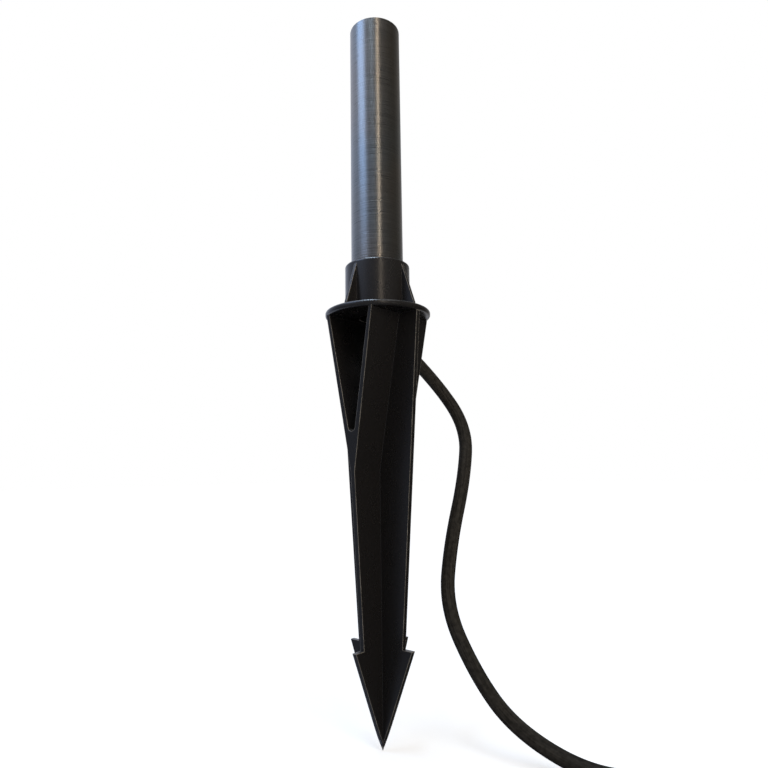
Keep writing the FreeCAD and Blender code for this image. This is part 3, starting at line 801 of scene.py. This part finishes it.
def spike_plastic():
    """Black moulded plastic with rounded edges, lightened by wear and a painted highlight."""
    material, tree, sockets = new_finish("spike_plastic", {"Specular IOR Level": 0.7})
    waves = grain(tree, (120, 120, 60))
    haze = grain(tree, (300, 300, 150))
    rounded = node(tree, "ShaderNodeBevel", {"Radius": EDGE_RADIUS}, samples=EDGE_SAMPLES).outputs["Normal"]
    within = node(tree, "ShaderNodeAmbientOcclusion", {"Distance": EDGE_WEAR_AND_HIGHLIGHT}, samples=EDGE_SAMPLES,
                  inside=True, only_local=True).outputs["AO"]
    # Painted highlight, partly real wear: the outer edges' colour is lightened towards a brownish grey.
    rubbed_and_highlit = ranged(tree, within, 1.0, 0.0, *NEAR_EDGE)
    wear_and_highlight = combined(tree, rubbed_and_highlit, ranged(tree, haze, 0.4, 1.0), "MULTIPLY")
    feed(
        tree, sockets,
        Base_Color=toned(tree, wear_and_highlight, (0.0, (0.0106, 0.0094, 0.0089)), (1.0, (0.34, 0.305, 0.255))),
        Roughness=combined(tree, ranged(tree, haze, 0.26, 0.31), combined(tree, wear_and_highlight, 0.1, "MULTIPLY")),
        Normal=relief(tree, waves, 0.03 * MM, 0.3, rounded),
    )
    return material


dress(spike_plastic(), nodes["ground_spike"])

# %% [markdown]
# ## Rubber, insulation and metal ends
#
# The flex has a matt rubber sheath with fine lines along it from the extruder and a little dust. The
# map on the cable follows its length, so those lines follow every bend. On the object's coordinates
# they would run straight through it. The three cores, their crimped sleeves, the bush, the plug with
# its metal and the strap have simple finishes of the same kind.

# %% Rubber of the cable


def cable_rubber(name, source, cells):
    """Matt black-brown rubber; cells per metre of its lines on the map or the object's coordinates."""
    material, tree, sockets = new_finish(name, {"Specular IOR Level": 0.06})
    drawn = grain(tree, cells, source=source)
    dust = grain(tree, (600, 600, 600), detail=4.0)
    dusty = blended(tree, drawn, dust, 0.55)
    feed(
        tree, sockets,
        Base_Color=toned(tree, dusty, (0.38, (0.0150, 0.0133, 0.0113)), (0.62, (0.0405, 0.0361, 0.0305))),
        Roughness=ranged(tree, dusty, 0.52, 0.68),
        Normal=relief(tree, drawn, 0.04 * MM, 0.6),
    )
    return material


dress(cable_rubber("cable_rubber", "UV", (14, 40, 1)), supply_cable)
dress(cable_rubber("inner_rubber", "Object", (900, 900, 60)), nodes["stem_cable"], nodes["foot_bung"])

# %% Insulation of the cores


def stripes(tree, scale, source="Object", **settings):
    """Even waves, in bands or rings, on the object's or the map's coordinates."""
    place = node(tree, "ShaderNodeTexCoord").outputs[source]
    return node(tree, "ShaderNodeTexWave", {"Vector": place, "Scale": scale}, **settings).outputs["Fac"]


def insulation(name, dark, light, stripe=None):
    """Smooth coloured insulation; a second colour, if given, takes half of it in bands along the core."""
    material, tree, sockets = new_finish(name, {"Specular IOR Level": 0.4})
    cloud = grain(tree, (300, 300, 120), detail=3.0)
    colour = toned(tree, cloud, (0.3, dark), (0.7, light))
    if stripe is not None:
        choice = combined(tree, stripes(tree, 110.0), 0.5, "GREATER_THAN")
        colour = mixed_colour(tree, choice, colour, (*stripe, 1.0))
    feed(tree, sockets, Base_Color=colour, Roughness=ranged(tree, cloud, 0.3, 0.45))
    return material


dress(insulation("core_brown", (0.12, 0.05, 0.02), (0.17, 0.075, 0.03)), nodes["core_live"])
dress(insulation("core_blue", (0.02, 0.10, 0.42), (0.03, 0.14, 0.5)), nodes["core_neutral"])
dress(insulation("core_green", (0.06, 0.3, 0.05), (0.09, 0.38, 0.07), (0.75, 0.6, 0.04)),
      nodes["core_earth"])

# %% Metals


def plated_metal(name, dark, light, rough):
    """Plated metal with fine uneven grain in its tone and gloss."""
    material, tree, sockets = new_finish(name, {"Metallic": 1.0})
    specks = grain(tree, (900, 900, 900), detail=3.0)
    feed(
        tree, sockets,
        Base_Color=toned(tree, specks, (0.3, dark), (0.7, light)),
        Roughness=ranged(tree, specks, *rough),
    )
    return material


def turned_brass():
    """Yellow brass with the fine rings that a lathe leaves about the stem's axis."""
    material, tree, sockets = new_finish("turned_brass", {"Metallic": 1.0})
    rings = stripes(tree, 1500.0, wave_type="RINGS", rings_direction="Z")
    cloud = grain(tree, (220, 220, 220), detail=3.0)
    turned = blended(tree, rings, cloud, 0.45)
    feed(
        tree, sockets,
        Base_Color=toned(tree, turned, (0.25, (0.50, 0.37, 0.16)), (0.75, (0.60, 0.46, 0.22))),
        Roughness=ranged(tree, turned, 0.22, 0.36),
        Normal=relief(tree, rings, 0.02 * MM, 0.5),
    )
    return material


dress(plated_metal("tinned_copper", (0.6, 0.59, 0.57), (0.72, 0.71, 0.69), (0.3, 0.45)),
      nodes["core_ferrules"])
dress(turned_brass(), screw_bush)

# %% Plug and strap


def plug_rubber():
    """Soft black rubber with the fine grain of an eroded mould."""
    material, tree, sockets = new_finish("plug_rubber", {"Specular IOR Level": 0.35})
    pores = grain(tree, (1800, 1800, 1800))
    cloud = grain(tree, (150, 150, 150), detail=3.0)
    feed(
        tree, sockets,
        Base_Color=toned(tree, cloud, (0.3, (0.016, 0.0155, 0.015)), (0.7, (0.03, 0.029, 0.028))),
        Roughness=ranged(tree, cloud, 0.5, 0.66),
        Normal=relief(tree, pores, 0.08 * MM, 0.5),
    )
    return material


def strap_tape():
    """Woven tape: crossing threads on the strap's own map."""
    material, tree, sockets = new_finish("strap_tape", {"Specular IOR Level": 0.2, "Sheen Weight": 0.15})
    across = stripes(tree, 700.0, "UV", bands_direction="X")
    along = stripes(tree, 700.0, "UV", bands_direction="Y")
    weave = combined(tree, across, along, "MULTIPLY")
    feed(
        tree, sockets,
        Base_Color=toned(tree, weave, (0.0, (0.008, 0.008, 0.008)), (1.0, (0.035, 0.034, 0.033))),
        Roughness=ranged(tree, weave, 0.9, 0.7, 0.0, 1.0),
        Normal=relief(tree, weave, 0.2 * MM, 0.7),
    )
    return material


dress(plug_rubber(), ribbed_relief, gripped_plug)
dress(plated_metal("plated_brass", (0.62, 0.61, 0.58), (0.74, 0.73, 0.7), (0.16, 0.3)),
      plug_prongs, spring_contacts)
dress(strap_tape(), coil_strap)
print("finishes:", len(bpy.data.materials))

# %% [markdown]
# ## The studio
#
# The photograph has a pure white ground. Camera, glossy and transmission rays therefore see white,
# while the light that reaches the object comes from a softer grey sky and four lamps: a cool softbox
# high on the left, a narrow warm strip beside the camera, a cool lamp overhead, and a warm fill from
# the right that lights the faces but isn't mirrored in them. A glossy black thing in an all white room
# looks grey, but in the photograph it is nearly black. So a dim round room stands about the object,
# which only reflections see. A picture of a real room could be wrapped round the scene instead, but a
# few tones on a wall can be set one by one.

# %% Background
SKY = (0.25, 0.25, 0.26)
WHITE = (1.0, 1.0, 1.0)


def seen_rays(tree):
    """1 for rays that show the background: camera, glossy and transmission rays."""
    path = node(tree, "ShaderNodeLightPath").outputs
    shown = combined(tree, path["Is Camera Ray"], path["Is Glossy Ray"], "MAXIMUM")
    return combined(tree, shown, path["Is Transmission Ray"], "MAXIMUM")


def white_world():
    """White where it is seen, a soft grey sky where it lights."""
    world = bpy.data.worlds.new("studio")
    world.use_nodes = True
    tree = world.node_tree
    colour = toned(tree, seen_rays(tree), (0.0, SKY), (1.0, WHITE))
    tree.links.new(colour, tree.nodes["Background"].inputs["Color"])
    return world


bpy.context.scene.world = white_world()
print("world:", bpy.context.scene.world.name)

# %% Floor
FLOOR_REACH = 6.0
FLOOR_BOUNCE = 0.75
FLOOR_SHADE = 0.8
FLOOR_GLOW = (0.60, 0.82)
FLOOR_FADE = (0.15, 0.95)


def bare_material(name):
    """A material with nothing yet on its output: the material, its tree and the output's socket."""
    material = bpy.data.materials.new(name)
    material.use_nodes = True
    tree = material.node_tree
    tree.nodes.remove(tree.nodes["Principled BSDF"])
    return material, tree, tree.nodes["Material Output"].inputs["Surface"]


def matt(tree, tone):
    """A plain diffuse shader of one grey."""
    return node(tree, "ShaderNodeBsdfDiffuse", {"Color": (tone, tone, tone, 1)}).outputs["BSDF"]


def floor():
    """A pale floor that keeps the object's shadow and melts into the white ground further out.

    Where it is seen it is a pale diffuse surface plus a glow that makes up for the light that it lacks,
    so the glow is weakest near the object, where the lamps are.
    """
    reach = np.array(((-1, -1, 0), (1, -1, 0), (1, 1, 0), (-1, 1, 0))) * FLOOR_REACH
    piece = new_piece("floor", reach + (0, 0, floor_level), [[0, 1, 2, 3]])
    material, tree, surface = bare_material("pale_floor")
    place = node(tree, "ShaderNodeTexCoord").outputs["Object"]
    away = node(tree, "ShaderNodeVectorMath", {0: place}, operation="LENGTH").outputs["Value"]
    glow = node(tree, "ShaderNodeEmission", {"Strength": ranged(tree, away, *FLOOR_GLOW, *FLOOR_FADE)})
    seen = node(tree, "ShaderNodeAddShader", {0: matt(tree, FLOOR_SHADE), 1: glow.outputs["Emission"]})
    mix = node(tree, "ShaderNodeMixShader",
               {0: seen_rays(tree), 1: matt(tree, FLOOR_BOUNCE), 2: seen.outputs["Shader"]})
    tree.links.new(mix.outputs["Shader"], surface)
    dress(material, piece)
    return piece


floor()

# %% [markdown]
# ### Lamps and the dim room
#
# The tones of the room's wall are listed: at three heights, a tone for each of a few bearings
# round the stem. Bearings are in degrees from the camera's side, positive to its right. The wall is
# bright behind the object, which gives the plastic its light outlines, and dark on the right, which
# keeps the faces on that side dark.

# %% Dim room
ROOM_RADIUS = 0.33
ROOM_TOP = 0.75
ROOM_SIDES = 96
ROOM_LIFT = 1 * MM
ROOM_HOLE = 1 * MM
WALL_TONES = (
    (0.05, ((-180, 0.70), (-150, 0.90), (-125, 0.50), (-100, 0.18), (-40, 0.16), (0, 0.15), (60, 0.05),
            (105, 0.02), (130, 0.13), (150, 0.55), (180, 0.70))),
    (0.18, ((-180, 0.65), (-150, 0.95), (-125, 0.72), (-100, 0.56), (-46, 0.57), (-34, 0.25), (0, 0.17),
            (30, 0.19), (60, 0.16), (105, 0.13), (130, 0.22), (150, 0.44), (180, 0.65))),
    (0.30, ((-180, 0.60), (-150, 1.00), (-115, 0.90), (-46, 0.95), (-34, 0.34), (0, 0.20), (30, 0.14),
            (60, 0.10), (105, 0.08), (130, 0.22), (150, 0.35), (180, 0.60))),
)
LEFT_TINT = np.array((0.82, 0.92, 1.20))
RIGHT_TINT = np.array((1.04, 1.00, 0.93))


def toward(bearing, distance, height):
    """A place at a bearing in degrees from the camera's side of the stem, positive to its right."""
    angle = math.atan2(CAMERA_PLACE[1], CAMERA_PLACE[0]) + np.radians(bearing)
    return np.stack(np.broadcast_arrays(
        distance * np.cos(angle), distance * np.sin(angle), height), axis=-1)


def dim_room():
    """A round wall and its floor, brighter behind and cooler on the left, seen only in reflections."""
    bearing = np.linspace(-180, 180, ROOM_SIDES + 1)
    ground = floor_level + ROOM_LIFT
    height = np.array((ground, ground, *(level for level, _ in WALL_TONES), ROOM_TOP))[:, None]
    reach = np.full_like(height, ROOM_RADIUS)
    reach[0] = ROOM_HOLE
    points = toward(bearing, reach, height)
    piece = new_piece("dim_room", points.reshape(-1, 3), grid_faces(len(height), len(bearing), False))
    wall = [np.interp(bearing, *zip(*tones)) for _, tones in WALL_TONES]
    tone = np.stack((wall[0], wall[0], *wall, wall[-1]))
    colours = np.ones((*tone.shape, 4))
    leftness = 0.5 - 0.5 * np.sin(np.radians(bearing))[:, None]
    colours[..., :3] = tone[..., None] * (RIGHT_TINT + leftness * (LEFT_TINT - RIGHT_TINT))
    layer = piece.data.color_attributes.new("tone", "FLOAT_COLOR", "POINT")
    layer.data.foreach_set("color", colours.astype(np.float32).ravel())
    material, tree, surface = bare_material("dim_room")
    shade = node(tree, "ShaderNodeVertexColor", layer_name="tone").outputs["Color"]
    tree.links.new(node(tree, "ShaderNodeEmission", {"Color": shade}).outputs["Emission"], surface)
    dress(material, piece)
    piece.visible_camera = False
    piece.visible_diffuse = False
    piece.visible_shadow = False
    return piece


dim_room()

# %% Lamps


def lamp(name, place, target, size, radiance, colour, mirrored=True):
    """A rectangular lamp that faces a target; its power follows from its area and its brightness.

    No camera ray sees it, and reflections only if it is to be mirrored.
    """
    data = bpy.data.lights.new(name, "AREA")
    data.shape = "RECTANGLE"
    data.size, data.size_y = size
    data.energy = radiance * math.pi * size[0] * size[1]
    data.color = colour
    piece = bpy.data.objects.new(name, data)
    bpy.context.scene.collection.objects.link(piece)
    back = unit(np.subtract(place, target))
    side = unit(np.cross(UP, back))
    turn = Matrix(np.stack((side, np.cross(back, side), back), axis=1).tolist()).to_4x4()
    piece.matrix_world = Matrix.Translation(place) @ turn
    piece.visible_camera = False
    piece.visible_glossy = mirrored
    return piece


lamp("softbox", toward(-67, 0.30, 0.35), target=(0, 0, 0.31), size=(0.18, 0.22), radiance=3.5,
     colour=(0.40, 0.60, 1.0))
lamp("strip", toward(11.5, 0.30, 0.12), target=(0, 0, 0.0), size=(0.022, 0.60), radiance=4.5,
     colour=(1.0, 0.84, 0.66))
lamp("overhead", toward(-80, 0.10, 0.66), target=(0, 0, 0), size=(0.46, 0.11), radiance=13.0,
     colour=(0.62, 0.79, 1.0))
lamp("fill", toward(36, 0.60, 0.10), target=(0, 0, -0.05), size=(0.25, 0.50), radiance=4.2,
     colour=(1.0, 0.94, 0.84), mirrored=False)
print("lamps:", [light.name for light in bpy.data.lights])

# %% [markdown]
# ## Look
#
# The colours are written as they should be seen, so the view transform is the plain one.

# %% View settings
bpy.context.scene.view_settings.view_transform = "Standard"
